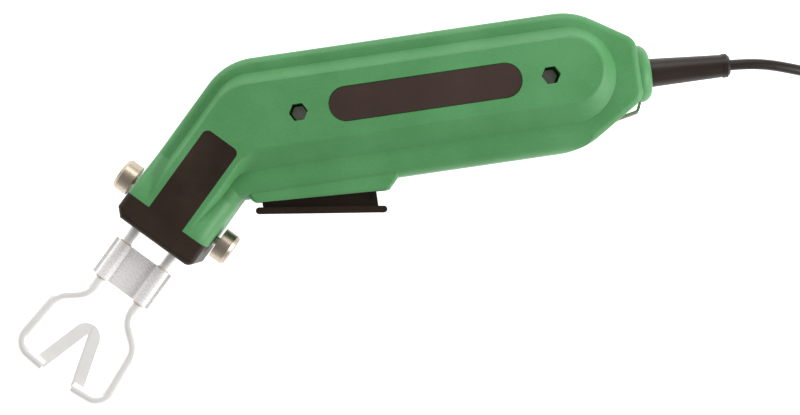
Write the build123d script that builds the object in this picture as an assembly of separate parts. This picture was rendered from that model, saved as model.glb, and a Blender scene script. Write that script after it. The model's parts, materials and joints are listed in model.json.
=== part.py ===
from build123d import *
import math
import os

# A hand-held hot knife cutter: a moulded housing bent 46 degrees at the nose, a transformer in the
# handle, a trigger, and a plug-in blade set that carries a heated V-shaped blade.
#
# Millimetres. The tool lies on its side, as it rests on a table. +X runs along the handle towards
# the cord, +Y towards the handle's back, +Z up out of the labelled side. The origin is on the flat
# rest face, where the handle's axis and the nose's axis cross.
#
# Sub-parts are built about the parting plane (z = 0) and lifted to the table when they are saved.
# "Nose" coordinates are (n, q): n runs along the nose towards the blade, and q across it, towards
# the trigger side.

# ---------------------------------------------------------------- driving dimensions
# housing
HALF_THICK = 23.0  # parting plane to the raised platform's flat
RIM_THICK = 17.0  # parting plane to the rim round the platform
BODY_TOP_Y, BODY_LOW_Y = 29.3, -31.0
NOSE_TOP_Q, NOSE_LOW_Q = -20.0, 20.8  # the nose's sides
NOSE_ANGLE = 45.8
NOSE_END = 48.2  # bend to the joint between the shells and the nose cap
REAR_X = 178.0  # bend to the flat rear face
REAR_TOP_Y = 13.3
REAR_LOW_Y = -12.6
REAR_TOP_RUN = 25.1  # length of the sloping corner at the handle's back, along X
REAR_LOW_RUN = 29.2  # and on its underside
BEND_R = 27.5
CAVITY_INNER_R = 3.0  # the hollow's corner at the bend
REAR_R = 7.0
SLOPE_R = 30.0
BACK_EDGE_R = 3.0  # rounding of the housing's outer edge
GRIP_EDGE_R = 7.0  # and along the underside, where the fingers close round it
WALL = 2.5
TOP_WALL = 3.4

# raised platform: its foot on the rim, and its flat
FOOT_TOP, FOOT_LOW, FOOT_REAR = 22.8, -19.3, REAR_X - 10.6
FLAT_TOP, FLAT_LOW, FLAT_REAR = 18.2, -10.6, REAR_X - 16.0
FOOT_NOSE_TOP, FOOT_NOSE_LOW = -14.6, 13.7  # the same edges along the nose, as q
FLAT_NOSE_TOP, FLAT_NOSE_LOW = -11.6, 11.6
FOOT_BEND_R, FOOT_INNER_R = 20.0, 10.0  # their corners at the bend
FLAT_BEND_R, FLAT_INNER_R = 17.0, 14.0
FLAT_EDGE_R = 1.6  # rounding of the flat's edge

# nose collar, where the rim rises to the cap's section
COLLAR_START = (NOSE_END - 30.2, RIM_THICK - 1.5)  # (n, height)
COLLAR_PULL = [(NOSE_END - 16.2, RIM_THICK - 0.5), (NOSE_END - 10.2, HALF_THICK)]
COLLAR_LOW_R = 7.0

# nose cap and its tongues
CAP_LENGTH = 11.1
CAP_END = NOSE_END + CAP_LENGTH
CAP_EDGE_R = 2.6
CAP_CHAMFER = 3.6  # the cap's corner on the back's side, across the nose
CAP_CORNER_R = 3.5  # and on the trigger's side
TONGUE_WIDTH = 17.6
TONGUE_START = 6.3
TONGUE_THICK = 1.5
TONGUE_R = 2.8
CAP_POCKET_DEPTH = 5.9

# blade set
ROD_R = 2.45
ROD_SPACING = 20.0
ROD_START = NOSE_END - 12.2  # inner end of the rods
ROD_FLARE = (CAP_END + 36.4, CAP_END + 45.2)  # where each rod steps outwards
ROD_FLARE_Q = 21.0
ROD_TIP = (CAP_END + 73.1, 23.4)
ROD_END = (CAP_END + 74.4, 8.0)
ROD_FLARE_R = 10.0
ROD_TIP_R = 7.0
BLADE_APEX = CAP_END + 30.75  # where the blade's outer edges would meet
BLADE_INNER_APEX = CAP_END + 51.3
BLADE_HALF_ANGLE = 16.75
BLADE_NOSE_R = 6.5
BLADE_THICK = 1.1
BLADE_END = CAP_END + 74.9
BLADE_BEVEL = (1.3, 0.42)
CLIP_START, CLIP_LENGTH = CAP_END + 9.2, 18.3
CLIP_WIDTH = 29.5
CLIP_THICK = 0.7
INSULATOR_THICK = 0.3
INSULATOR_PROUD = 0.5
SLEEVE_GAP = 0.3  # between a rod and the cap's hole round it

# terminals and clamp screws
TERMINAL_START, TERMINAL_LENGTH = NOSE_END - 10.2, 14.0
TERMINAL_IN, TERMINAL_OUT = 5.0, 16.0
TERMINAL_HALF = 6.0
CARRIER_START, CARRIER_HALF = NOSE_END - 15.2, 9.0
RUNNING_GAP = 0.05
CLAMP_N = NOSE_END - 3.8
CLAMP_SHANK_R = 2.0
CLAMP_HEAD_R = 7.2
CLAMP_HEAD_LENGTH = 7.0
CLAMP_HEAD_IN = 22.75  # the head's inner face, as q
CLAMP_BEVEL = (1.3, 0.9)  # along the screw, and across it
CLAMP_HOLE_GAP = 0.3
CLAMP_SLOT_WIDTH, CLAMP_SLOT_DEPTH = 1.6, 1.8

# skirt and trigger
SKIRT_HALF = 15.0
SKIRT_WALL = 2.2
SKIRT_R = 1.5
SKIRT_LIP_FRONT = (5.1, -33.15)
SKIRT_LIP_REAR = (62.0, -35.85)
SKIRT_TOP_Y = -27.0
SKIRT_FRONT_EDGE = [(2.3, -28.95), (3.6, -31.95)]
SKIRT_REAR_EDGE = [(63.3, -35.55), (68.1, -30.55)]
OPENING_FRONT_X, OPENING_REAR_X, OPENING_TOP_Y = 6.5, 61.5, -24.0
TRIGGER_PIVOT = (10.0, -27.5)
TRIGGER_EYE_R = 3.2
TRIGGER_TOP_Y = -30.0
TRIGGER_WEB_HALF = 9.5
TRIGGER_FLANGE_HALF = 11.6
TRIGGER_FLANGE_THICK = 3.0
TRIGGER_FRONT = (5.9, -36.75)
TRIGGER_REAR = (59.5, -43.8)
WEB_FRONT_X, WEB_REAR_X = 7.6, 57.3
TRIGGER_MARK = (53.8, -37.55)
TRIGGER_MARK_R, TRIGGER_MARK_DEPTH = 1.5, 0.4
PIVOT_PIN_R = 1.5
PIVOT_PIN_HALF = 14.0
SPRING_X, SPRING_R, SPRING_WIRE_R = 54.0, 3.0, 0.35
SPRING_TURNS = 5
SPRING_SEAT_HALF = 4.0
SPRING_SEAT_Y = -19.5

# switch
SWITCH_X, SWITCH_LENGTH = 28.0, 20.0
SWITCH_LOW_Y, SWITCH_TOP_Y = -25.0, -15.6
SWITCH_HALF = 5.0
PLUNGER_X, PLUNGER_R, PLUNGER_IN = 33.0, 1.25, 2.0
PLUNGER_BORE_Y = -20.0

# screws that hold the two shells
SCREW_X = (29.3, REAR_X - 39.0)
SCREW_Y = 2.7
SCREW_R = 1.75
SCREW_HEAD_AF, SCREW_HEAD_HEIGHT, SCREW_HEAD_Z = 5.9, 2.5, 8.5
RECESS_AF = 7.2
BOSS_R = 6.5
SCREW_GAP = 0.15

# label
LABEL_CENTRE = (84.6, 3.3)
LABEL_LENGTH, LABEL_WIDTH, LABEL_THICK = 83.3, 14.5, 0.6
LABEL_RECESS, LABEL_RING = 0.9, 0.4

# transformer
CORE_LENGTH, CORE_HALF = 48.0, 17.0
CORE_X = SCREW_X[1] - 15.0 - CORE_LENGTH  # kept clear of the rear screw's boss
CORE_Y, CORE_STACK = 2.0, 22.0
LEG = 5.5
YOKE = 6.0
WINDING_OUT = 7.0  # winding beyond the stack, each side
FORMER = 1.2
BOBBIN_FLANGE = 1.5
BAR_THICK, BAR_HALF = 3.0, 4.0
BAR_Q = 14.4
BAR_BEND_R = 6.0
RIB_THICK = 2.5

# rear boss, bend relief and cord
REAR_BOSS_R, REAR_BOSS_Y, REAR_BOSS_X = 12.6, -1.1, REAR_X + 5.7
REAR_BOSS_EDGE_R = 5.0
SLEEVE_START = (REAR_X + 6.3, -1.5)
SLEEVE_DROOP = 2.65
SLEEVE_LENGTH, SLEEVE_R0, SLEEVE_R1 = 34.6, 6.3, 5.0
SLEEVE_INSIDE = 13.0
SLEEVE_COLLAR_R, SLEEVE_COLLAR = 5.3, 3.6
SLEEVE_COLLAR_STEP, SLEEVE_COLLAR_BEVEL = 0.6, 1.2
SLEEVE_FLANGE_R, SLEEVE_FLANGE = 7.5, 3.0
CORD_R = 2.35
CORD_INSIDE = 32.0
CLAMP_BAR_FROM, CLAMP_BAR_LENGTH = -26.0, 8.0
CLAMP_BAR_HALF_Y, CLAMP_BAR_THICK = 10.5, 4.5
CLAMP_SCREW_Y, CLAMP_SCREW_R, CLAMP_SCREW_HEAD_R = 7.0, 1.5, 2.6
CLAMP_SCREW_IN, CLAMP_SCREW_HEAD = 9.0, 2.0
LEAD_R = 1.0
LEAD_ACROSS = 1.2  # from the cord's axis
LEAD_BEND_R = 1.8
LEAD_LOW_Y = -21.5  # the leads to the switch run under the transformer
LEAD_SIDE = 9.0  # and pass the trigger's spring on either side

# hanging eyelet: a bent wire held between the shells
EYELET_R = 0.95
EYELET_POINTS = [(-15.8, -14.0), (-13.1, -20.0), (-1.6, -17.6), (0.3, -13.2), (-1.2, -9.8)]
EYELET_BENDS = [1.6, 2.2, 1.3]

# free cord, its coil and its plug: x from the bend relief's end, y, and height above the table
CORD_ROUTE = [
    (0.0, -3.1, 23.0),
    (12.14, -3.75, 22.3),
    (28.14, -8.35, 18.9),
    (44.14, -14.1, 12.3),
    (60.14, -19.4, 6.2),
    (76.14, -24.2, 2.6),
    (90.14, -27.2, 2.4),
]
TAIL_ROUTE = [
    (70.74, 0.0, 16.5),
    (70.04, -11.0, 16.2),
    (68.34, -22.0, 14.2),
    (66.34, -33.0, 10.0),
    (65.54, -44.0, 7.2),
    (65.54, -52.0, 7.0),
]
COIL_CENTRE = (96.54, 2.8)
COIL_R = 26.0
COIL_COLUMNS, COIL_ROWS = 3, 4
PLUG_AXIS_Z = 7.0
PLUG_RELIEF, PLUG_RELIEF_R0, PLUG_RELIEF_R1 = 20.0, 3.2, 4.8
PLUG_LENGTH, PLUG_WIDTH = 34.0, 26.0
PLUG_R = 5.0
PIN_R, PIN_LENGTH, PIN_SPACING = 2.0, 19.0, 18.6
PIN_ROOT_R, PIN_ROOT = 1.4, 4.0  # the pin's thinner root, moulded into the body

# ---------------------------------------------------------------- derived sizes
INNER_SIDE = min(-NOSE_TOP_Q, NOSE_LOW_Q) - WALL
ROD_Q = ROD_SPACING / 2
TRIGGER_TILT = math.degrees(
    math.atan2(TRIGGER_REAR[1] - TRIGGER_FRONT[1], TRIGGER_REAR[0] - TRIGGER_FRONT[0])
)
NOSE = Plane(
    origin=(0, 0, 0),
    x_dir=(-math.cos(math.radians(NOSE_ANGLE)), -math.sin(math.radians(NOSE_ANGLE)), 0),
    z_dir=(0, 0, 1),
)
SLEEVE = Plane(
    origin=(*SLEEVE_START, 0),
    x_dir=(0, 0, 1),
    z_dir=(math.cos(math.radians(SLEEVE_DROOP)), -math.sin(math.radians(SLEEVE_DROOP)), 0),
)
CORD_EXIT_X = SLEEVE.from_local_coords(Vector(0, 0, SLEEVE_LENGTH)).X


# ---------------------------------------------------------------- helpers
def box(x0, x1, y0, y1, z0, z1):
    """A box between two corners."""
    return Pos((x0 + x1) / 2, (y0 + y1) / 2, (z0 + z1) / 2) * Box(x1 - x0, y1 - y0, z1 - z0)


def rod(r, start, end):
    """A round bar between two points."""
    start, end = Vector(*start), Vector(*end)
    along = Plane(origin=start, z_dir=end - start)
    return extrude(along * Circle(r), (end - start).length)


def on_nose(shape):
    """Moves a shape from nose coordinates to the housing's."""
    return NOSE.location * shape


def on_sleeve(shape):
    """Moves a shape that was built along +Z to the cord's exit."""
    return SLEEVE.location * shape


def nose_point(n, q):
    p = NOSE.from_local_coords(Vector(n, q, 0))
    return (p.X, p.Y)


def where_nose_meets(y, q):
    """The point of height y on the nose's line of constant q."""
    x, y0 = nose_point(0, q)
    return (x + (y - y0) / math.tan(math.radians(NOSE_ANGLE)), y)


def rounded_face(corners):
    """A flat face from corners (x, y, radius)."""
    face = make_face(Polyline(*[(x, y) for x, y, _ in corners], close=True))
    for x, y, r in corners:
        if r > 0:
            corner = face.vertices().sort_by_distance((x, y, 0))[0]
            face = fillet(corner, r)
    return face


def bent_bar(points, radius, r):
    """A round wire or lead along points, with rounded corners."""
    path = FilletPolyline(*points, radius=radius)
    return sweep(Plane(origin=path @ 0, z_dir=path % 0) * Circle(r), path=path)


def swept_cord(route, name):
    """A cord's tube: straight runs joined by arcs as large as the runs allow."""
    points = [Vector(CORD_EXIT_X + x, y, z) for x, y, z in route]
    radii = []
    for a, b, c in zip(points, points[1:], points[2:]):
        turn = math.radians((b - a).get_angle(c - b))
        shorter = min((b - a).length, (c - b).length)
        radii.append(0.45 * shorter / math.tan(turn / 2))
    path = FilletPolyline(*points, radius=radii)
    tube = sweep(Plane(origin=path @ 0, z_dir=path % 0) * Circle(CORD_R), path=path)
    print(name, "radii", [round(r, 1) for r in radii], "length", round(path.length, 1))
    print(name, "volume over section times length", tube.volume / (math.pi * CORD_R**2 * path.length))
    return tube


def hexagon_bar(across_flats, z0, z1):
    face = RegularPolygon(across_flats / 2, 6, major_radius=False)
    return extrude(Pos(0, 0, z0) * face, z1 - z0)


def save(name, shape, lift=HALF_THICK):
    shape = Pos(0, 0, lift) * shape
    solids = shape.solids()
    shape = solids[0] if len(solids) == 1 else Compound(children=list(solids))
    shape.label = name
    export_step(shape, f"parts/{name}.step")


# ---------------------------------------------------------------- housing
def silhouette(inner_r=0.0):
    """The housing's outline in the parting plane, without the nose cap."""
    low_corner = where_nose_meets(BODY_LOW_Y, NOSE_LOW_Q)
    top_corner = where_nose_meets(BODY_TOP_Y, NOSE_TOP_Q)
    return rounded_face(
        [
            (*top_corner, BEND_R),
            (REAR_X - REAR_TOP_RUN, BODY_TOP_Y, SLOPE_R),
            (REAR_X, REAR_TOP_Y, REAR_R),
            (REAR_X, REAR_LOW_Y, REAR_R),
            (REAR_X - REAR_LOW_RUN, BODY_LOW_Y, SLOPE_R),
            (*low_corner, inner_r),
            (*nose_point(NOSE_END, NOSE_LOW_Q), 0),
            (*nose_point(NOSE_END, NOSE_TOP_Q), 0),
        ]
    )


def platform_face(top, low, rear, nose_top, nose_low, bend_r, inner_r, inset=0.0):
    """The raised platform's outline: round at the rear and bent into the nose."""
    top, low, rear = top - inset, low + inset, rear - inset
    nose_top, nose_low = nose_top + inset, nose_low - inset
    end = NOSE_END - inset
    r = (top - low) / 2 - 0.01
    return rounded_face(
        [
            (*where_nose_meets(top, nose_top), max(bend_r - inset, 1)),
            (rear, top, r),
            (rear, low, r),
            (*where_nose_meets(low, nose_low), inner_r + inset),
            (*nose_point(end, nose_low), 0),
            (*nose_point(end, nose_top), 0),
        ]
    )


def platform(inset=0.0, drop=0.0, edge_r=0.0):
    foot = platform_face(
        FOOT_TOP, FOOT_LOW, FOOT_REAR, FOOT_NOSE_TOP, FOOT_NOSE_LOW, FOOT_BEND_R, FOOT_INNER_R,
        inset,
    )
    flat = platform_face(
        FLAT_TOP, FLAT_LOW, FLAT_REAR, FLAT_NOSE_TOP, FLAT_NOSE_LOW, FLAT_BEND_R, FLAT_INNER_R,
        inset,
    )
    rise = loft([Pos(0, 0, RIM_THICK - drop) * foot, Pos(0, 0, HALF_THICK - drop) * flat])
    if edge_r:
        rise = fillet(long_edges_at(rise, HALF_THICK - drop), edge_r)
    return rise + extrude(foot, RIM_THICK - drop)


def edges_at(shape, z):
    return shape.edges().filter_by_position(Axis.Z, z - 0.01, z + 0.01)


def long_edges_at(shape, z):
    """The edges at a height, without those in the joint with the nose cap."""
    return [
        e for e in edges_at(shape, z) if abs(NOSE.to_local_coords(e @ 0.5).X - NOSE_END) > 0.1
    ]


def collar():
    """The nose's end, where the rim rises gently to the platform's height."""
    start, full = COLLAR_START, (NOSE_END, HALF_THICK)
    rise = Bezier(*[(n, 0, z) for n, z in (start, *COLLAR_PULL, full)])
    sides = Polyline((*full[:1], 0, full[1]), (NOSE_END, 0, 0), (start[0], 0, 0), rise @ 0)
    face = Pos(0, NOSE_LOW_Q, 0) * make_face([rise, sides])
    block = extrude(face, NOSE_LOW_Q - NOSE_TOP_Q, dir=(0, -1, 0))
    for q, r in ((NOSE_TOP_Q, BACK_EDGE_R), (NOSE_LOW_Q, COLLAR_LOW_R)):
        edge = [
            e
            for e in block.edges().filter_by_position(Axis.Y, q - 0.01, q + 0.01)
            if (e @ 0.5).Z > start[1] and abs((e @ 0.5).X - NOSE_END) > 0.1
        ]
        block = fillet(edge, r)
    return on_nose(block)


def skirt_face():
    """The trigger skirt's outline below the handle."""
    top = [(SKIRT_REAR_EDGE[1][0], SKIRT_TOP_Y), (SKIRT_FRONT_EDGE[0][0], SKIRT_TOP_Y)]
    lips = [SKIRT_LIP_FRONT, SKIRT_LIP_REAR]
    return make_face(Polyline(*SKIRT_FRONT_EDGE, *lips, *SKIRT_REAR_EDGE, *top, close=True))


def skirt_opening():
    deep = 2 * (SKIRT_LIP_REAR[1] - SKIRT_TOP_Y)
    return box(
        OPENING_FRONT_X, OPENING_REAR_X, OPENING_TOP_Y + deep, OPENING_TOP_Y,
        0, SKIRT_HALF - SKIRT_WALL,
    )


def underside_edge(length):
    """What a rounding cuts from a square edge that runs along -X at the origin."""
    r = GRIP_EDGE_R
    corner = box(-length, 0, -r, 1, -r, 1)
    return corner - rod(r, (-length - 1, -r, -r), (1, -r, -r))


def round_underside(shape):
    """Rounds the handle's underside and the nose's side over the trigger, mitred at the bend."""
    x, y = where_nose_meets(BODY_LOW_Y, NOSE_LOW_Q)
    half_turn = NOSE_ANGLE / 2
    mitre = Rot(0, 0, half_turn) * box(-100, 0, -60, 60, -60, 60)
    along = underside_edge(260)
    handle = Rot(0, 0, 180) * Pos(GRIP_EDGE_R, 0, 0) * along
    nose = mirror(Pos(GRIP_EDGE_R, 0, 0) * along, about=Plane.XZ)
    handle = handle - mitre
    nose = (Rot(0, 0, NOSE_ANGLE) * nose) & mitre
    place = Pos(x, y, RIM_THICK)
    return shape - place * handle - place * nose


def rim_half():
    rim = extrude(silhouette(), RIM_THICK)
    rim = fillet(long_edges_at(rim, RIM_THICK), BACK_EDGE_R)
    return round_underside(rim)


def rim_cavity():
    inner = offset(silhouette(CAVITY_INNER_R), -WALL, kind=Kind.INTERSECTION)
    room = extrude(inner, RIM_THICK - WALL)
    return fillet(edges_at(room, RIM_THICK - WALL), GRIP_EDGE_R - WALL)


def rear_boss():
    boss = rod(REAR_BOSS_R, (REAR_X - 5, REAR_BOSS_Y, 0), (REAR_BOSS_X, REAR_BOSS_Y, 0))
    boss = fillet(boss.edges().sort_by(Axis.X)[-1], REAR_BOSS_EDGE_R)
    return boss & box(0, 300, -100, 100, 0, 60)


def outer_half():
    skirt = extrude(skirt_face(), SKIRT_HALF)
    skirt = fillet(
        skirt.edges()
        .filter_by_position(Axis.Z, SKIRT_HALF - 0.01, SKIRT_HALF + 0.01)
        .filter_by_position(Axis.Y, -60, -28),
        SKIRT_R,
    )
    return rim_half() + platform(edge_r=FLAT_EDGE_R) + collar() + skirt + rear_boss()


def common_half():
    """One shell with everything that both have."""
    half = outer_half()
    half -= rim_cavity()
    half -= platform(inset=WALL, drop=TOP_WALL)
    half -= skirt_opening()

    for x in SCREW_X:
        half += Pos(x, SCREW_Y, 0) * extrude(Circle(BOSS_R), HALF_THICK - TOP_WALL + 1)
    rib_top = HALF_THICK - TOP_WALL + 1
    core_low, core_top = CORE_Y - CORE_STACK / 2, CORE_Y + CORE_STACK / 2
    for x in (CORE_X + 2, CORE_X + CORE_LENGTH - 2 - RIB_THICK):
        half += box(x, x + RIB_THICK, core_low, core_top, CORE_HALF, rib_top)
    half += box(
        SPRING_X - SPRING_SEAT_HALF, SPRING_X + SPRING_SEAT_HALF,
        SPRING_SEAT_Y, SPRING_SEAT_Y + RIB_THICK,
        0, RIM_THICK - 1,
    )

    for x in SCREW_X:
        half -= Pos(x, SCREW_Y, 0) * hexagon_bar(RECESS_AF, SCREW_HEAD_Z, HALF_THICK + 1)
        half -= Pos(x, SCREW_Y, 0) * extrude(Circle(SCREW_R + SCREW_GAP), HALF_THICK)
    half -= on_nose(tongue(1))
    half -= on_nose(carrier_block())
    for side in (-1, 1):
        half -= on_nose(rod(CLAMP_SHANK_R + CLAMP_HOLE_GAP, (CLAMP_N, 0, 0), (CLAMP_N, side * 40, 0)))
    half -= on_sleeve(sleeve_outside())
    half -= eyelet()
    half -= pivot_pin()
    return half


def label_room():
    face = SlotOverall(LABEL_LENGTH + 2 * LABEL_RING, LABEL_WIDTH + 2 * LABEL_RING)
    return Pos(*LABEL_CENTRE, HALF_THICK - LABEL_RECESS) * extrude(face, LABEL_RECESS + 1)


def shell_front():
    return common_half() - label_room()


def shell_rear():
    half = mirror(common_half(), about=Plane.XY)
    half += on_sleeve(cord_pad())
    half -= on_sleeve(extrude(Pos(0, 0, -CORD_INSIDE) * Circle(CORD_R), CORD_INSIDE))
    for side in (-1, 1):
        half -= on_sleeve(clamp_screw(side))
    return half


def label_plate():
    face = SlotOverall(LABEL_LENGTH, LABEL_WIDTH)
    return Pos(*LABEL_CENTRE, HALF_THICK - LABEL_RECESS) * extrude(face, LABEL_THICK)


# ---------------------------------------------------------------- nose cap
def tongue(side):
    face = rounded_face(
        [
            (TONGUE_START, -TONGUE_WIDTH / 2, TONGUE_R),
            (NOSE_END + 1, -TONGUE_WIDTH / 2, 0),
            (NOSE_END + 1, TONGUE_WIDTH / 2, 0),
            (TONGUE_START, TONGUE_WIDTH / 2, TONGUE_R),
        ]
    )
    plate = extrude(Pos(0, 0, HALF_THICK - TONGUE_THICK) * face, TONGUE_THICK)
    return plate if side > 0 else mirror(plate, about=Plane.XY)


def cap_block():
    """The nose cap's outside: the collar's section, with rounded corners at the front."""
    outline = rounded_face(
        [
            (NOSE_END, NOSE_TOP_Q, 0),
            (CAP_END - CAP_CHAMFER, NOSE_TOP_Q, 0),
            (CAP_END, NOSE_TOP_Q + CAP_CHAMFER, 0),
            (CAP_END, NOSE_LOW_Q, CAP_CORNER_R),
            (NOSE_END, NOSE_LOW_Q, 0),
        ]
    )
    half = extrude(outline, HALF_THICK)
    rounded = [e for e in edges_at(half, HALF_THICK) if (e @ 0.5).X > NOSE_END + 0.01]
    half = fillet(rounded, CAP_EDGE_R)
    return half + mirror(half, about=Plane.XY)


def nose_cap():
    block = cap_block()
    pocket_end = NOSE_END + CAP_POCKET_DEPTH
    block -= box(NOSE_END - 1, pocket_end, -INNER_SIDE, INNER_SIDE, -CARRIER_HALF, CARRIER_HALF)
    for q in (-ROD_Q, ROD_Q):
        block -= rod(ROD_R + SLEEVE_GAP, (NOSE_END, q, 0), (CAP_END + 1, q, 0))
    return on_nose(block + tongue(1) + tongue(-1))


# ---------------------------------------------------------------- blade set
def rod_path(side):
    """A rod's centreline in nose coordinates; side is -1 above and 1 below."""
    points = [
        (ROD_START, ROD_Q),
        (ROD_FLARE[0], ROD_Q),
        (ROD_FLARE[1], ROD_FLARE_Q),
        ROD_TIP,
        ROD_END,
    ]
    return FilletPolyline(
        *[(n, side * q, 0) for n, q in points], radius=[ROD_FLARE_R, ROD_FLARE_R, ROD_TIP_R]
    )


def blade_flat():
    """The V blade: a flat strip bent to a point, sharpened along its inside."""
    slope = math.tan(math.radians(BLADE_HALF_ANGLE))
    wide = (BLADE_END - BLADE_APEX) * slope
    outer = rounded_face(
        [(BLADE_APEX, 0, BLADE_NOSE_R), (BLADE_END, wide, 0), (BLADE_END, -wide, 0)]
    )
    inner_wide = (BLADE_END + 1 - BLADE_INNER_APEX) * slope
    inner = make_face(
        Polyline(
            (BLADE_INNER_APEX, 0),
            (BLADE_END + 1, inner_wide),
            (BLADE_END + 1, -inner_wide),
            close=True,
        )
    )
    strip = extrude(Pos(0, 0, -BLADE_THICK / 2) * (outer - inner), BLADE_THICK)
    width, depth = BLADE_BEVEL
    low = offset(inner, 0.01, kind=Kind.INTERSECTION)
    high = offset(inner, width, kind=Kind.INTERSECTION)
    bevel = loft(
        [Pos(0, 0, BLADE_THICK / 2 - depth) * low, Pos(0, 0, BLADE_THICK / 2 + 0.001) * high]
    )
    return strip - bevel - mirror(bevel, about=Plane.XY)


def blade_rod(side):
    path = rod_path(side)
    bar = sweep(Plane(origin=path @ 0, z_dir=path % 0) * Circle(ROD_R), path=path)
    return on_nose(bar) - on_nose(blade_flat())


def clip_half(side):
    """One sheet of the bridge clip: flat in the middle, with a half-round channel over each rod."""
    end = CLIP_START + CLIP_LENGTH
    inner_r = ROD_R + INSULATOR_THICK
    sheet = box(CLIP_START, end, -CLIP_WIDTH / 2, CLIP_WIDTH / 2, 0, CLIP_THICK)
    for q in (-ROD_Q, ROD_Q):
        channel = rod(inner_r + CLIP_THICK, (CLIP_START, q, 0), (end, q, 0))
        sheet += channel & box(CLIP_START, end, q - 10, q + 10, 0, 10)
    for q in (-ROD_Q, ROD_Q):
        sheet -= rod(inner_r, (CLIP_START - 1, q, 0), (end + 1, q, 0))
    sheet = sheet if side > 0 else mirror(sheet, about=Plane.XY)
    return on_nose(sheet)


def rod_insulators():
    start, end = CLIP_START - INSULATOR_PROUD, CLIP_START + CLIP_LENGTH + INSULATOR_PROUD
    tubes = [
        rod(ROD_R + INSULATOR_THICK, (start, q, 0), (end, q, 0))
        - rod(ROD_R, (start - 1, q, 0), (end + 1, q, 0))
        for q in (-ROD_Q, ROD_Q)
    ]
    return on_nose(tubes[0] + tubes[1])


# ---------------------------------------------------------------- terminals
def terminal(side):
    a, b = sorted((side * TERMINAL_IN, side * TERMINAL_OUT))
    end = TERMINAL_START + TERMINAL_LENGTH
    block = box(TERMINAL_START, end, a, b, -TERMINAL_HALF, TERMINAL_HALF)
    block -= rod(
        ROD_R + RUNNING_GAP, (TERMINAL_START - 1, side * ROD_Q, 0), (end + 1, side * ROD_Q, 0)
    )
    block -= rod(
        CLAMP_SHANK_R + RUNNING_GAP, (CLAMP_N, side * ROD_Q, 0), (CLAMP_N, side * 40, 0)
    )
    return on_nose(block)


def carrier_block():
    return box(
        CARRIER_START, NOSE_END, -INNER_SIDE, INNER_SIDE, -CARRIER_HALF, CARRIER_HALF
    )


def terminal_carrier():
    block = carrier_block()
    for side in (-1, 1):
        a, b = sorted((side * TERMINAL_IN, side * TERMINAL_OUT))
        block -= box(TERMINAL_START, NOSE_END + 1, a, b, -TERMINAL_HALF, TERMINAL_HALF)
        block -= rod(
            ROD_R + SLEEVE_GAP, (ROD_START - 1, side * ROD_Q, 0), (NOSE_END, side * ROD_Q, 0)
        )
        block -= rod(CLAMP_SHANK_R + CLAMP_HOLE_GAP, (CLAMP_N, side * ROD_Q, 0), (CLAMP_N, side * 40, 0))
    return on_nose(block) - secondary_bar(-1) - secondary_bar(1)


def clamp_screw_head(side):
    """A large round screw that clamps a rod in its terminal from the nose's side."""
    head_in, head_out = CLAMP_HEAD_IN, CLAMP_HEAD_IN + CLAMP_HEAD_LENGTH
    tip = ROD_Q + ROD_R + RUNNING_GAP
    head = rod(CLAMP_HEAD_R, (CLAMP_N, head_in, 0), (CLAMP_N, head_out, 0))
    rim = head.edges().sort_by(Axis.Y)[-1]
    face = head.faces().sort_by(Axis.Y)[-1]
    head = chamfer(rim, CLAMP_BEVEL[1], CLAMP_BEVEL[0], reference=face)
    head -= box(
        CLAMP_N - 20, CLAMP_N + 20,
        head_out - CLAMP_SLOT_DEPTH, head_out + 1,
        -CLAMP_SLOT_WIDTH / 2, CLAMP_SLOT_WIDTH / 2,
    )
    screw = head + rod(CLAMP_SHANK_R, (CLAMP_N, tip, 0), (CLAMP_N, head_in, 0))
    return on_nose(screw if side > 0 else mirror(screw, about=Plane.XZ))


# ---------------------------------------------------------------- trigger and switch
def trigger():
    length = math.dist(TRIGGER_FRONT, TRIGGER_REAR) + TRIGGER_FLANGE_THICK
    middle = [(a + b) / 2 for a, b in zip(TRIGGER_FRONT, TRIGGER_REAR)]
    pill = Pos(*middle) * Rot(0, 0, TRIGGER_TILT) * SlotOverall(length, TRIGGER_FLANGE_THICK)
    flange = extrude(Pos(0, 0, -TRIGGER_FLANGE_HALF) * pill, 2 * TRIGGER_FLANGE_HALF)
    web_face = make_face(
        Polyline(
            (WEB_FRONT_X, TRIGGER_TOP_Y),
            (WEB_REAR_X, TRIGGER_TOP_Y),
            (WEB_REAR_X, TRIGGER_REAR[1]),
            (WEB_FRONT_X, TRIGGER_FRONT[1]),
            close=True,
        )
    ) + Pos(*TRIGGER_PIVOT) * Circle(TRIGGER_EYE_R)
    web = extrude(Pos(0, 0, -TRIGGER_WEB_HALF) * web_face, 2 * TRIGGER_WEB_HALF)
    lever = flange + web
    lever -= rod(PIVOT_PIN_R + RUNNING_GAP, (*TRIGGER_PIVOT, -20), (*TRIGGER_PIVOT, 20))
    for z in (-TRIGGER_WEB_HALF, TRIGGER_WEB_HALF):
        lever -= rod(
            TRIGGER_MARK_R,
            (*TRIGGER_MARK, z - TRIGGER_MARK_DEPTH), (*TRIGGER_MARK, z + TRIGGER_MARK_DEPTH),
        )
    return lever


def pivot_pin():
    return rod(PIVOT_PIN_R, (*TRIGGER_PIVOT, -PIVOT_PIN_HALF), (*TRIGGER_PIVOT, PIVOT_PIN_HALF))


def trigger_spring():
    room = SPRING_SEAT_Y - TRIGGER_TOP_Y - 2 * SPRING_WIRE_R - 2 * RUNNING_GAP
    low = TRIGGER_TOP_Y + SPRING_WIRE_R + RUNNING_GAP
    helix = Helix(room / SPRING_TURNS, room, SPRING_R - SPRING_WIRE_R)
    section = Plane(origin=helix @ 0, z_dir=helix % 0) * Circle(SPRING_WIRE_R)
    return Pos(SPRING_X, low, 0) * Rot(-90, 0, 0) * sweep(section, path=helix)


def plunger_tip_y():
    return TRIGGER_TOP_Y + RUNNING_GAP


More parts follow.
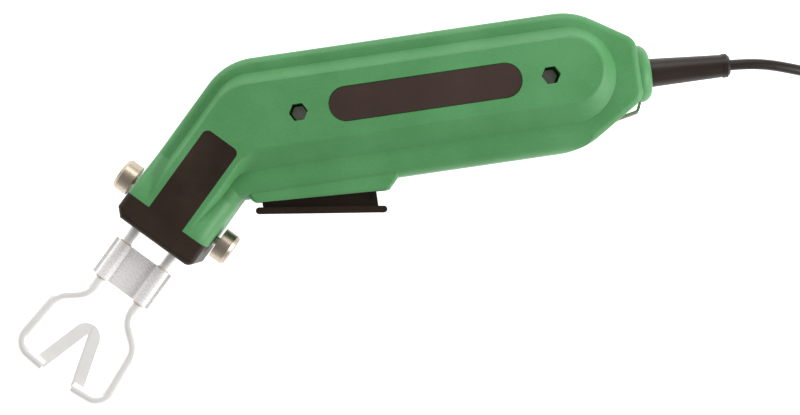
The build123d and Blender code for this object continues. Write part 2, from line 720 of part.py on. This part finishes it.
def switch_body():
    body = box(
        SWITCH_X, SWITCH_X + SWITCH_LENGTH,
        SWITCH_LOW_Y, SWITCH_TOP_Y,
        -SWITCH_HALF, SWITCH_HALF,
    )
    bore = rod(
        PLUNGER_R + RUNNING_GAP, (PLUNGER_X, SWITCH_LOW_Y - 1, 0), (PLUNGER_X, PLUNGER_BORE_Y, 0)
    )
    return body - bore


def switch_plunger():
    tip = plunger_tip_y() + PLUNGER_R
    stem = rod(PLUNGER_R, (PLUNGER_X, tip, 0), (PLUNGER_X, SWITCH_LOW_Y + PLUNGER_IN, 0))
    return stem + Pos(PLUNGER_X, tip, 0) * Sphere(PLUNGER_R)


# ---------------------------------------------------------------- transformer
def transformer_core():
    """Stacked plates with two windows, whose middle leg carries the winding."""
    y0, y1 = CORE_Y - CORE_STACK / 2, CORE_Y + CORE_STACK / 2
    end = CORE_X + CORE_LENGTH
    core = box(CORE_X, end, y0, y1, -CORE_HALF, CORE_HALF)
    for side in (-1, 1):
        a, b = sorted((side * LEG, side * (CORE_HALF - LEG)))
        core -= box(CORE_X + YOKE, end - YOKE, y0 - 1, y1 + 1, a, b)
    return core


def former_box(x0, x1, grow, half):
    y0, y1 = CORE_Y - CORE_STACK / 2 - grow, CORE_Y + CORE_STACK / 2 + grow
    return box(x0, x1, y0, y1, -half, half)


def bobbin():
    x0, x1 = CORE_X + YOKE, CORE_X + CORE_LENGTH - YOKE
    half = CORE_HALF - LEG
    flanges = former_box(x0, x0 + BOBBIN_FLANGE, WINDING_OUT + 1, half)
    flanges += former_box(x1 - BOBBIN_FLANGE, x1, WINDING_OUT + 1, half)
    tube = former_box(x0, x1, FORMER, LEG + FORMER)
    return flanges + tube - former_box(x0 - 1, x1 + 1, 0, LEG)


def primary_winding():
    x0 = CORE_X + YOKE + BOBBIN_FLANGE
    x1 = CORE_X + CORE_LENGTH - YOKE - BOBBIN_FLANGE
    wound = former_box(x0, x1, WINDING_OUT, CORE_HALF - LEG)
    return wound - former_box(x0 - 1, x1 + 1, FORMER, LEG + FORMER)


def secondary_bar(side):
    """A copper bar from a terminal back to the transformer's winding."""
    stack_side = CORE_Y - side * (CORE_STACK / 2 + WINDING_OUT / 2 + BAR_THICK / 6)
    path = FilletPolyline(
        (*nose_point(TERMINAL_START, side * BAR_Q), 0),
        (*where_nose_meets(stack_side, side * BAR_Q), 0),
        (CORE_X + YOKE, stack_side, 0),
        radius=BAR_BEND_R,
    )
    section = Plane(origin=path @ 0, x_dir=(0, 0, 1), z_dir=path % 0)
    return sweep(section * Rectangle(2 * BAR_HALF, BAR_THICK), path=path)


# ---------------------------------------------------------------- screws
def shell_screws():
    screws = []
    for x in SCREW_X:
        head = hexagon_bar(SCREW_HEAD_AF, SCREW_HEAD_Z, SCREW_HEAD_Z + SCREW_HEAD_HEIGHT)
        shank = rod(SCREW_R, (0, 0, -SCREW_HEAD_Z - SCREW_HEAD_HEIGHT), (0, 0, SCREW_HEAD_Z))
        screws.append(Pos(x, SCREW_Y, 0) * (head + shank))
    return Compound(children=screws)


def shell_nuts():
    nuts = []
    for x in SCREW_X:
        nut = hexagon_bar(SCREW_HEAD_AF, -SCREW_HEAD_Z - SCREW_HEAD_HEIGHT, -SCREW_HEAD_Z)
        nut -= rod(SCREW_R, (0, 0, -30), (0, 0, 0))
        nuts.append(Pos(x, SCREW_Y, 0) * nut)
    return Compound(children=nuts)


# ---------------------------------------------------------------- cord's exit
def sleeve_profile():
    """Half of the bend relief's section: radius along X, the cord's direction along Y."""
    taper_end = SLEEVE_LENGTH - SLEEVE_COLLAR
    return make_face(
        Polyline(
            (0, -SLEEVE_INSIDE),
            (SLEEVE_FLANGE_R, -SLEEVE_INSIDE),
            (SLEEVE_FLANGE_R, SLEEVE_FLANGE - SLEEVE_INSIDE),
            (SLEEVE_R0, SLEEVE_FLANGE - SLEEVE_INSIDE),
            (SLEEVE_R0, 0),
            (SLEEVE_R1, taper_end),
            (SLEEVE_COLLAR_R, taper_end + SLEEVE_COLLAR_STEP),
            (SLEEVE_COLLAR_R, SLEEVE_LENGTH - SLEEVE_COLLAR_BEVEL),
            (SLEEVE_COLLAR_R - SLEEVE_COLLAR_BEVEL, SLEEVE_LENGTH),
            (0, SLEEVE_LENGTH),
            close=True,
        )
    )


def sleeve_outside():
    """The bend relief's outer form, built along +Z."""
    return revolve(Plane.XZ * sleeve_profile(), axis=Axis.Z)


def bend_relief():
    bore = extrude(Pos(0, 0, -SLEEVE_INSIDE - 1) * Circle(CORD_R), 100)
    return on_sleeve(sleeve_outside() - bore)


def cord_inner():
    """The cord from its clamp in the handle to the bend relief's end."""
    return on_sleeve(
        extrude(Pos(0, 0, -CORD_INSIDE) * Circle(CORD_R), CORD_INSIDE + SLEEVE_LENGTH)
    )


# In the sleeve's frame, local X is the housing's Z and local Y runs across the cord.
def cord_pad():
    return box(
        -HALF_THICK + TOP_WALL - 1, 0,
        -CLAMP_BAR_HALF_Y, CLAMP_BAR_HALF_Y,
        CLAMP_BAR_FROM, CLAMP_BAR_FROM + CLAMP_BAR_LENGTH,
    )


def clamp_screw(side):
    z = CLAMP_BAR_FROM + CLAMP_BAR_LENGTH / 2
    y = side * CLAMP_SCREW_Y
    top = CLAMP_BAR_THICK
    shank = rod(CLAMP_SCREW_R, (-CLAMP_SCREW_IN, y, z), (top, y, z))
    return shank + rod(CLAMP_SCREW_HEAD_R, (top, y, z), (top + CLAMP_SCREW_HEAD, y, z))


def cord_clamp():
    bar = box(
        0, CLAMP_BAR_THICK,
        -CLAMP_BAR_HALF_Y, CLAMP_BAR_HALF_Y,
        CLAMP_BAR_FROM, CLAMP_BAR_FROM + CLAMP_BAR_LENGTH,
    )
    bar -= extrude(Pos(0, 0, -CORD_INSIDE) * Circle(CORD_R), CORD_INSIDE)
    for side in (-1, 1):
        bar -= clamp_screw(side)
    return on_sleeve(bar)


def cord_clamp_screws():
    return on_sleeve(Compound(children=[clamp_screw(-1), clamp_screw(1)]))


def cord_end(across, beyond=0.0):
    """A point on the cord's inner end face, or straight beyond it."""
    p = SLEEVE.from_local_coords(Vector(0, across, -CORD_INSIDE - beyond))
    return (p.X, p.Y, 0)


def switch_end(side):
    """Where a lead meets the switch, and the bend above it."""
    x = SWITCH_X + SWITCH_LENGTH - 4
    return [(x, LEAD_LOW_Y, side * SWITCH_HALF), (x, LEAD_LOW_Y, side * LEAD_SIDE)]


def lead_live():
    x, _, _ = cord_end(0)
    points = [
        cord_end(LEAD_ACROSS), cord_end(LEAD_ACROSS, 4), (x - 15, LEAD_LOW_Y, 4),
        (SPRING_X + 8, LEAD_LOW_Y, LEAD_SIDE), *reversed(switch_end(1)),
    ]
    return bent_bar(points, LEAD_BEND_R, LEAD_R)


def lead_neutral():
    x, _, _ = cord_end(0)
    end = CORE_X + CORE_LENGTH - YOKE
    y = CORE_Y + CORE_STACK / 2 + WINDING_OUT / 2
    points = [
        cord_end(-LEAD_ACROSS), cord_end(-LEAD_ACROSS, 3), (x - 6, y - 2, 0),
        (end + 8, y, 0), (end, y, 0),
    ]
    return bent_bar(points, LEAD_BEND_R, LEAD_R)


def lead_switched():
    end = CORE_X + YOKE
    y = CORE_Y - CORE_STACK / 2 - WINDING_OUT / 2 - 1.5
    points = [
        *switch_end(-1), (SPRING_X + 8, LEAD_LOW_Y, -LEAD_SIDE),
        (end - 7, y, 1 - LEAD_SIDE), (end, y, 1 - LEAD_SIDE),
    ]
    return bent_bar(points, LEAD_BEND_R, LEAD_R)


def eyelet():
    return bent_bar([(REAR_X + x, y, 0) for x, y in EYELET_POINTS], EYELET_BENDS, EYELET_R)


# ---------------------------------------------------------------- coil and plug, above the table
def cord_coil():
    """The outer form of the cord that is put away in a neat round coil."""
    across = COIL_COLUMNS * 2 * CORD_R
    height = COIL_ROWS * 2 * CORD_R
    section = Pos(COIL_R, height / 2) * RectangleRounded(across, height, CORD_R)
    x, y = COIL_CENTRE
    return Pos(CORD_EXIT_X + x, y, 0) * revolve(Plane.XZ * section, axis=Axis.Z)


def plug_plane():
    x, y, z = TAIL_ROUTE[-1]
    return Plane(origin=(CORD_EXIT_X + x, y, z), x_dir=(1, 0, 0), z_dir=(0, -1, 0))


def plug_body():
    along = plug_plane()
    relief = Solid.make_cone(PLUG_RELIEF_R0, PLUG_RELIEF_R1, PLUG_RELIEF)
    block = Pos(0, 0, PLUG_RELIEF + PLUG_LENGTH / 2) * Box(
        PLUG_WIDTH, 2 * PLUG_AXIS_Z, PLUG_LENGTH
    )
    block = fillet(block.edges().filter_by(Axis.Z), PLUG_R)
    block = fillet(block.faces().sort_by(Axis.Z)[0].edges(), PLUG_R - 1)
    body = block + relief
    for side in (-1, 1):
        body -= pin_root(side)
    return along.location * body


def pin_root(side):
    x, face = side * PIN_SPACING / 2, PLUG_RELIEF + PLUG_LENGTH
    return rod(PIN_ROOT_R, (x, 0, face - PIN_ROOT), (x, 0, face))


def plug_pins():
    face = PLUG_RELIEF + PLUG_LENGTH
    pins = []
    for side in (-1, 1):
        x = side * PIN_SPACING / 2
        pin = rod(PIN_R, (x, 0, face), (x, 0, face + PIN_LENGTH))
        pin = fillet(pin.edges().sort_by(Axis.Z)[-1], PIN_R * 0.6)
        pins.append(plug_plane().location * (pin + pin_root(side)))
    return Compound(children=pins)


# ---------------------------------------------------------------- the whole object
os.makedirs("parts", exist_ok=True)
save("shell_front", shell_front())
save("shell_rear", shell_rear())
save("nose_cap", nose_cap())
save("label_plate", label_plate())
save("clamp_screw_upper", clamp_screw_head(-1))
save("clamp_screw_lower", clamp_screw_head(1))
save("terminal_upper", terminal(-1))
save("terminal_lower", terminal(1))
save("terminal_carrier", terminal_carrier())
save("secondary_bar_upper", secondary_bar(-1))
save("secondary_bar_lower", secondary_bar(1))
save("rod_upper", blade_rod(-1))
save("rod_lower", blade_rod(1))
save("blade", on_nose(blade_flat()))
save("bridge_clip_front", clip_half(1))
save("bridge_clip_rear", clip_half(-1))
save("rod_insulators", rod_insulators())
save("trigger", trigger())
save("trigger_pin", pivot_pin())
save("trigger_spring", trigger_spring())
save("switch_body", switch_body())
save("switch_plunger", switch_plunger())
save("transformer_core", transformer_core())
save("bobbin", bobbin())
save("primary_winding", primary_winding())
save("shell_screws", shell_screws())
save("shell_nuts", shell_nuts())
save("bend_relief", bend_relief())
save("cord_inner", cord_inner())
save("cord_clamp", cord_clamp())
save("cord_clamp_screws", cord_clamp_screws())
save("lead_live", lead_live())
save("lead_neutral", lead_neutral())
save("lead_switched", lead_switched())
save("hanging_eyelet", eyelet())
save("cord", swept_cord(CORD_ROUTE, "cord"), 0)
save("cord_tail", swept_cord(TAIL_ROUTE, "cord_tail"), 0)
save("cord_coil", cord_coil(), 0)
save("plug_body", plug_body(), 0)
save("plug_pins", plug_pins(), 0)
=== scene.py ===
"""Looks of the hot knife cutter: materials, cord, small details, floor, light and camera."""

import json
import math

import bpy
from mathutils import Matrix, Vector


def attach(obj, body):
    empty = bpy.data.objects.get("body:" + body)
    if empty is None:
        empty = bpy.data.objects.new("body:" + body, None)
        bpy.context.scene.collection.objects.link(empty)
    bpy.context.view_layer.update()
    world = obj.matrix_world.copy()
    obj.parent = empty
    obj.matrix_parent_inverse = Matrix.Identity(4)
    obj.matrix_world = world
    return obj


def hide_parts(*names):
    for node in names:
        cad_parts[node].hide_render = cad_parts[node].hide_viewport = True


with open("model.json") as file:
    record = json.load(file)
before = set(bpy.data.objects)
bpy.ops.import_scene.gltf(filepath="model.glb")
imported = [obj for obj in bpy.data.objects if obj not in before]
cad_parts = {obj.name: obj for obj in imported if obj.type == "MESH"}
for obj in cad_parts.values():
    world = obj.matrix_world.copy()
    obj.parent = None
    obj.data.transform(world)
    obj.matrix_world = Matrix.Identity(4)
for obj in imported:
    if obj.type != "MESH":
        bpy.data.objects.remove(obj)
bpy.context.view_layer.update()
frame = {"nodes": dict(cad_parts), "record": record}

MID_Z = 0.023  # the parting plane's height above the table
SEAM_HALF = 0.00012

# ---------------------------------------------------------------- camera
EYE_ABOVE_MID = 0.900
EYE_X, EYE_Y = 0.0666, -0.04415
VIEW_WIDTH = 0.352  # across the picture at the parting plane
ROLL = math.radians(8.3)
SENSOR = 36.0


def make_camera():
    data = bpy.data.cameras.new("camera")
    data.sensor_width = SENSOR
    data.lens = SENSOR * EYE_ABOVE_MID / VIEW_WIDTH
    data.clip_start, data.clip_end = 0.05, 10.0
    cam = bpy.data.objects.new("camera", data)
    cam.location = (EYE_X, EYE_Y, MID_Z + EYE_ABOVE_MID)
    cam.rotation_euler = (0, 0, -ROLL)
    bpy.context.scene.collection.objects.link(cam)
    bpy.context.scene.camera = cam


# ---------------------------------------------------------------- material helpers
def new_material(name):
    material = bpy.data.materials.new(name)
    material.use_nodes = True
    return material, material.node_tree.nodes, material.node_tree.links


def node(nodes, kind, **values):
    made = nodes.new("ShaderNode" + kind)
    for key, value in values.items():
        if key in made.inputs:
            made.inputs[key].default_value = value
        else:
            setattr(made, key, value)
    return made


def place(nodes):
    """The row frame's own coordinates, in metres: every object sits at the origin."""
    return nodes.new("ShaderNodeTexCoord").outputs["Object"]


def noise(nodes, links, size, detail=3.0, roughness=0.55):
    """Noise whose features are about size metres across."""
    made = node(nodes, "TexNoise", Scale=1.0 / size, Detail=detail, Roughness=roughness)
    links.new(place(nodes), made.inputs["Vector"])
    return made.outputs["Fac"]


def spread(nodes, links, fac, low, high, start=0.3, end=0.7):
    """Maps start..end, which is where most noise lies, onto low..high."""
    made = node(nodes, "MapRange")
    made.inputs["From Min"].default_value, made.inputs["From Max"].default_value = start, end
    made.inputs["To Min"].default_value, made.inputs["To Max"].default_value = low, high
    links.new(fac, made.inputs["Value"])
    return made.outputs["Result"]


def mix_colour(nodes, links, fac, a, b):
    made = nodes.new("ShaderNodeMix")
    made.data_type = "RGBA"
    made.inputs["A"].default_value = (*a, 1)
    made.inputs["B"].default_value = (*b, 1)
    links.new(fac, made.inputs["Factor"])
    return made.outputs["Result"]


def bump(nodes, links, height, depth):
    made = node(nodes, "Bump", Strength=1.0, Distance=depth)
    links.new(height, made.inputs["Height"])
    return made.outputs["Normal"]


# ---------------------------------------------------------------- materials
PLASTIC_PATCH = 0.03  # the size of the broad changes of colour in plastic
PLASTIC_GRAIN_SHARE = 0.5  # how much the fine grain counts beside them
PLASTIC_SHADES = (0.55, 0.95)
PLASTIC_ROUGHNESS_STEP = 0.05
SEAM_SHADE = 0.35
METAL_PATCH = 0.012
METAL_ROUGHNESS_SPREAD = (0.7, 1.3)


def moulded(name, dark, light, roughness, grain, depth, gloss=0.5, seam=False):
    """Moulded plastic or rubber: a fine spark-eroded grain, and faint broad changes of colour.

    gloss is the share of light that the skin mirrors, where 0.5 is ordinary plastic.
    """
    material, nodes, links = new_material(name)
    shader = nodes["Principled BSDF"]
    fine = noise(nodes, links, grain, 2.0)
    broad = noise(nodes, links, PLASTIC_PATCH)
    both = node(nodes, "Math", operation="MULTIPLY_ADD")
    links.new(fine, both.inputs[0])
    both.inputs[1].default_value = PLASTIC_GRAIN_SHARE
    links.new(broad, both.inputs[2])
    shade = spread(nodes, links, both.outputs[0], 0.0, 1.0, *PLASTIC_SHADES)
    colour = mix_colour(nodes, links, shade, dark, light)
    if seam:
        colour = seam_line(nodes, links, colour, [c * SEAM_SHADE for c in dark])
    links.new(colour, shader.inputs["Base Color"])
    low, high = roughness - PLASTIC_ROUGHNESS_STEP, roughness + PLASTIC_ROUGHNESS_STEP
    links.new(spread(nodes, links, fine, low, high), shader.inputs["Roughness"])
    links.new(bump(nodes, links, fine, depth), shader.inputs["Normal"])
    shader.inputs["Specular IOR Level"].default_value = gloss
    return material


def seam_line(nodes, links, colour, dark):
    """The fine line where the two shells meet."""
    split = nodes.new("ShaderNodeSeparateXYZ")
    links.new(place(nodes), split.inputs["Vector"])
    near = node(nodes, "Math", operation="COMPARE")
    links.new(split.outputs["Z"], near.inputs[0])
    near.inputs[1].default_value = MID_Z
    near.inputs[2].default_value = SEAM_HALF
    layered = nodes.new("ShaderNodeMix")
    layered.data_type = "RGBA"
    links.new(near.outputs[0], layered.inputs["Factor"])
    links.new(colour, layered.inputs["A"])
    layered.inputs["B"].default_value = (*dark, 1)
    return layered.outputs["Result"]


def metal(name, colour, tint, roughness, depth=0.00001, grain=0.0006, pure=1.0):
    """Plated or polished metal, with fine scratches and a faint change of tint.

    pure is how metallic it is. Under 1 the metal looks paler than bare steel does.
    """
    material, nodes, links = new_material(name)
    shader = nodes["Principled BSDF"]
    shader.inputs["Metallic"].default_value = pure
    broad = spread(nodes, links, noise(nodes, links, METAL_PATCH, 4.0), 0.0, 1.0)
    links.new(mix_colour(nodes, links, broad, colour, tint), shader.inputs["Base Color"])
    fine = noise(nodes, links, grain, 4.0, 0.7)
    low, high = (roughness * share for share in METAL_ROUGHNESS_SPREAD)
    links.new(spread(nodes, links, fine, low, high), shader.inputs["Roughness"])
    links.new(bump(nodes, links, fine, depth), shader.inputs["Normal"])
    return material


def make_materials():
    return {
        "housing": moulded("green_plastic", (0.062, 0.222, 0.074), (0.086, 0.270, 0.102), 0.45,
                           0.0006, 0.00003, gloss=0.3, seam=True),
        "cap": moulded("black_cap", (0.013, 0.007, 0.004), (0.034, 0.020, 0.013), 0.45,
                       0.0005, 0.00005, gloss=0.22),
        "label": moulded("dark_label", (0.036, 0.021, 0.017), (0.048, 0.029, 0.023), 0.5,
                         0.0004, 0.00001, gloss=0.2),
        "trigger": moulded("trigger_plastic", (0.009, 0.004, 0.001), (0.018, 0.009, 0.004), 0.42,
                           0.0006, 0.00002, gloss=0.25),
        "relief": moulded("relief_rubber", (0.012, 0.007, 0.004), (0.020, 0.012, 0.008), 0.4,
                          0.0004, 0.00002, gloss=0.3),
        "cord": moulded("cord_sheath", (0.012, 0.007, 0.005), (0.020, 0.013, 0.010), 0.4,
                        0.0008, 0.00002, gloss=0.3),
        "plug": moulded("plug_plastic", (0.012, 0.009, 0.008), (0.019, 0.014, 0.012), 0.4,
                        0.0005, 0.00002),
        "switch": moulded("switch_plastic", (0.02, 0.02, 0.02), (0.03, 0.03, 0.03), 0.4,
                          0.0005, 0.00001),
        "plunger": moulded("plunger_plastic", (0.4, 0.04, 0.03), (0.45, 0.05, 0.04), 0.4,
                           0.0005, 0.00001),
        "bobbin": moulded("bobbin_plastic", (0.6, 0.55, 0.42), (0.66, 0.6, 0.48), 0.5,
                          0.0005, 0.00001),
        "mica": moulded("mica", (0.50, 0.42, 0.28), (0.60, 0.51, 0.34), 0.5, 0.0008, 0.00002),
        "lead_brown": moulded("brown_lead", (0.13, 0.05, 0.02), (0.16, 0.06, 0.03), 0.35,
                              0.0005, 0.00001),
        "lead_blue": moulded("blue_lead", (0.03, 0.08, 0.3), (0.04, 0.10, 0.36), 0.35,
                             0.0005, 0.00001),
        "core": metal("core_plates", (0.16, 0.16, 0.17), (0.22, 0.21, 0.2), 0.5),
        "winding": metal("winding_wire", (0.6, 0.25, 0.12), (0.7, 0.32, 0.16), 0.35),
        "copper": metal("copper", (0.8, 0.4, 0.25), (0.86, 0.48, 0.32), 0.3),
        "brass": metal("brass", (0.78, 0.58, 0.28), (0.84, 0.66, 0.36), 0.3),
        "clamp_metal": metal("nickel", (0.46, 0.38, 0.30), (0.55, 0.47, 0.38), 0.34),
        "rod_metal": metal("rod_steel", (0.86, 0.84, 0.82), (0.92, 0.90, 0.88), 0.22, 0.000001,
                           pure=0.35),
        "blade_metal": metal("blade_steel", (0.86, 0.84, 0.81), (0.92, 0.90, 0.87), 0.40, 0.000002,
                             pure=0.35),
        "clip_metal": metal("clip_steel", (0.86, 0.84, 0.82), (0.92, 0.90, 0.88), 0.28, 0.000001,
                            pure=0.3),
        "steel": metal("zinc_steel", (0.50, 0.47, 0.42), (0.60, 0.57, 0.51), 0.4, pure=0.6),
        "wire": metal("eyelet_wire", (0.55, 0.50, 0.44), (0.65, 0.60, 0.54), 0.25),
        "pin_metal": metal("pin_nickel", (0.72, 0.68, 0.6), (0.8, 0.76, 0.7), 0.25),
    }


def paint(piece, slot):
    piece.data.materials.clear()
    piece.data.materials.append(materials[slot])


def paint_nodes():
    slots = {s["node"]: s["material_slot"] for s in frame["record"]["subparts"]}
    for name, piece in frame["nodes"].items():
        material = materials[slots[name]]
        if not piece.material_slots:
            piece.data.materials.append(material)
        for held in piece.material_slots:
            held.material = material


# ---------------------------------------------------------------- cord
CORD_DIAMETER = 0.0047
CORD_ROUTE = [
    (0.21886, -0.0031, 0.0230),
    (0.2310, -0.00375, 0.0223),
    (0.2470, -0.00835, 0.0189),
    (0.2630, -0.0141, 0.0123),
    (0.2790, -0.0194, 0.0062),
    (0.2950, -0.0242, 0.0026),
]
TAIL_ROUTE = [
    (0.2889, -0.0110, 0.0162),
    (0.2872, -0.0220, 0.0142),
    (0.2852, -0.0330, 0.0100),
    (0.2844, -0.0440, 0.0072),
    (0.2844, -0.0520, 0.0070),
]
COIL_CENTRE = Vector((0.3154, 0.0028, 0.0))
COIL_R = 0.026
COIL_LIFT = 0.51  # the first layer's middle above the table, in cord diameters
COIL_COLUMNS = 3
COIL_START = math.radians(-102.1)
COIL_TURNS = 10.783
POINTS_PER_TURN = 18
STEP_OVER = 0.22  # the share of a turn in which the cord moves to its next place


def coil_places(turns):
    """(column, row) of each turn: side by side inwards, then up a row and back outwards."""
    places = []
    for k in range(turns):
        row, along = divmod(k, COIL_COLUMNS)
        column = along if row % 2 == 0 else COIL_COLUMNS - 1 - along
        places.append((column, row))
    return places


def coil_points():
    places = coil_places(math.ceil(COIL_TURNS) + 1)
    points = []
    for i in range(int(COIL_TURNS * POINTS_PER_TURN) + 1):
        turn, part = divmod(i / POINTS_PER_TURN, 1.0)
        here, there = places[int(turn)], places[int(turn) + 1]
        t = max(0.0, (part - (1 - STEP_OVER)) / STEP_OVER)
        t = t * t * (3 - 2 * t)
        column, row = (a + (b - a) * t for a, b in zip(here, there))
        radius = COIL_R + ((COIL_COLUMNS - 1) / 2 - column) * CORD_DIAMETER
        angle = COIL_START + i / POINTS_PER_TURN * math.tau
        points.append(
            COIL_CENTRE
            + Vector((radius * math.cos(angle), radius * math.sin(angle), 0))
            + Vector((0, 0, CORD_DIAMETER * (row + COIL_LIFT)))
        )
    return points


def curve_through(name, points, thickness):
    """A round cord on one smooth NURBS line."""
    data = bpy.data.curves.new(name, "CURVE")
    data.dimensions = "3D"
    data.bevel_depth = thickness / 2
    data.bevel_resolution = 5
    data.resolution_u = 6
    data.use_fill_caps = True
    line = data.splines.new("NURBS")
    line.points.add(len(points) - 1)
    for held, point in zip(line.points, points):
        held.co = (*point, 1.0)
    line.order_u = 3
    line.use_endpoint_u = True
    made = bpy.data.objects.new(name, data)
    bpy.context.scene.collection.objects.link(made)
    return made


def line_length(piece):
    bare = piece.copy()
    bare.data = piece.data.copy()
    bare.data.bevel_depth = 0
    mesh = bpy.data.meshes.new_from_object(bare)
    points = [v.co for v in mesh.vertices]
    return sum((b - a).length for a, b in zip(points, points[1:]))


def make_cord():
    points = [*map(Vector, CORD_ROUTE), *coil_points(), *map(Vector, TAIL_ROUTE)]
    cord = curve_through("mains_cord", points, CORD_DIAMETER)
    paint(cord, "cord")
    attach(cord, "housing")
    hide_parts("cord", "cord_coil", "cord_tail")
    round(line_length(cord), 3)


# ---------------------------------------------------------------- floor and light
FLOOR_SIZE = 6.0
FLOOR_DROP = 0.0002  # keeps it clear of the pieces that rest on the table
FLOOR_WHITE = 0.8
FLOOR_GLOW = 0.75  # a lit white table, on which shadows all but vanish


def make_floor():
    bpy.ops.mesh.primitive_plane_add(size=FLOOR_SIZE, location=(0.1, 0, -FLOOR_DROP))
    floor = bpy.context.object
    floor.name = "floor"
    material, nodes, links = new_material("floor_white")
    shader = nodes["Principled BSDF"]
    shader.inputs["Base Color"].default_value = (FLOOR_WHITE, FLOOR_WHITE, FLOOR_WHITE, 1)
    shader.inputs["Roughness"].default_value = 0.9
    shader.inputs["Specular IOR Level"].default_value = 0.1
    shader.inputs["Emission Color"].default_value = (1, 1, 1, 1)
    shader.inputs["Emission Strength"].default_value = FLOOR_GLOW
    floor.data.materials.append(material)


SKY_HORIZON, SKY_OVERHEAD = 0.68, 0.32
LIGHT_TARGET = (0.06, 0.0, 0.02)


def area_light(name, spot, target, size, power):
    data = bpy.data.lights.new(name, "AREA")
    data.shape = "RECTANGLE"
    data.size, data.size_y = size
    data.energy = power
    lamp = bpy.data.objects.new(name, data)
    lamp.location = spot
    lamp.rotation_euler = (Vector(target) - Vector(spot)).to_track_quat("-Z", "Y").to_euler()
    bpy.context.scene.collection.objects.link(lamp)


def make_world():
    """A white studio that is darker overhead than at the horizon."""
    world = bpy.data.worlds.new("studio")
    world.use_nodes = True
    nodes, links = world.node_tree.nodes, world.node_tree.links
    toward = nodes.new("ShaderNodeTexCoord")
    split = nodes.new("ShaderNodeSeparateXYZ")
    links.new(toward.outputs["Generated"], split.inputs["Vector"])
    level = spread(nodes, links, split.outputs["Z"], SKY_HORIZON, SKY_OVERHEAD, 0.1, 0.8)
    links.new(level, nodes["Background"].inputs["Strength"])
    nodes["Background"].inputs["Color"].default_value = (1, 1, 1, 1)
    bpy.context.scene.world = world


def make_light():
    bpy.context.scene.view_settings.view_transform = "Standard"
    make_world()
    area_light("key", (0.0, 0.95, 0.75), LIGHT_TARGET, (1.4, 0.8), 13)
    area_light("fill", (1.05, -0.42, 0.50), LIGHT_TARGET, (0.8, 0.5), 13)


# ---------------------------------------------------------------- the scene
make_camera()
materials = make_materials()
paint_nodes()
make_cord()
make_floor()
make_light()
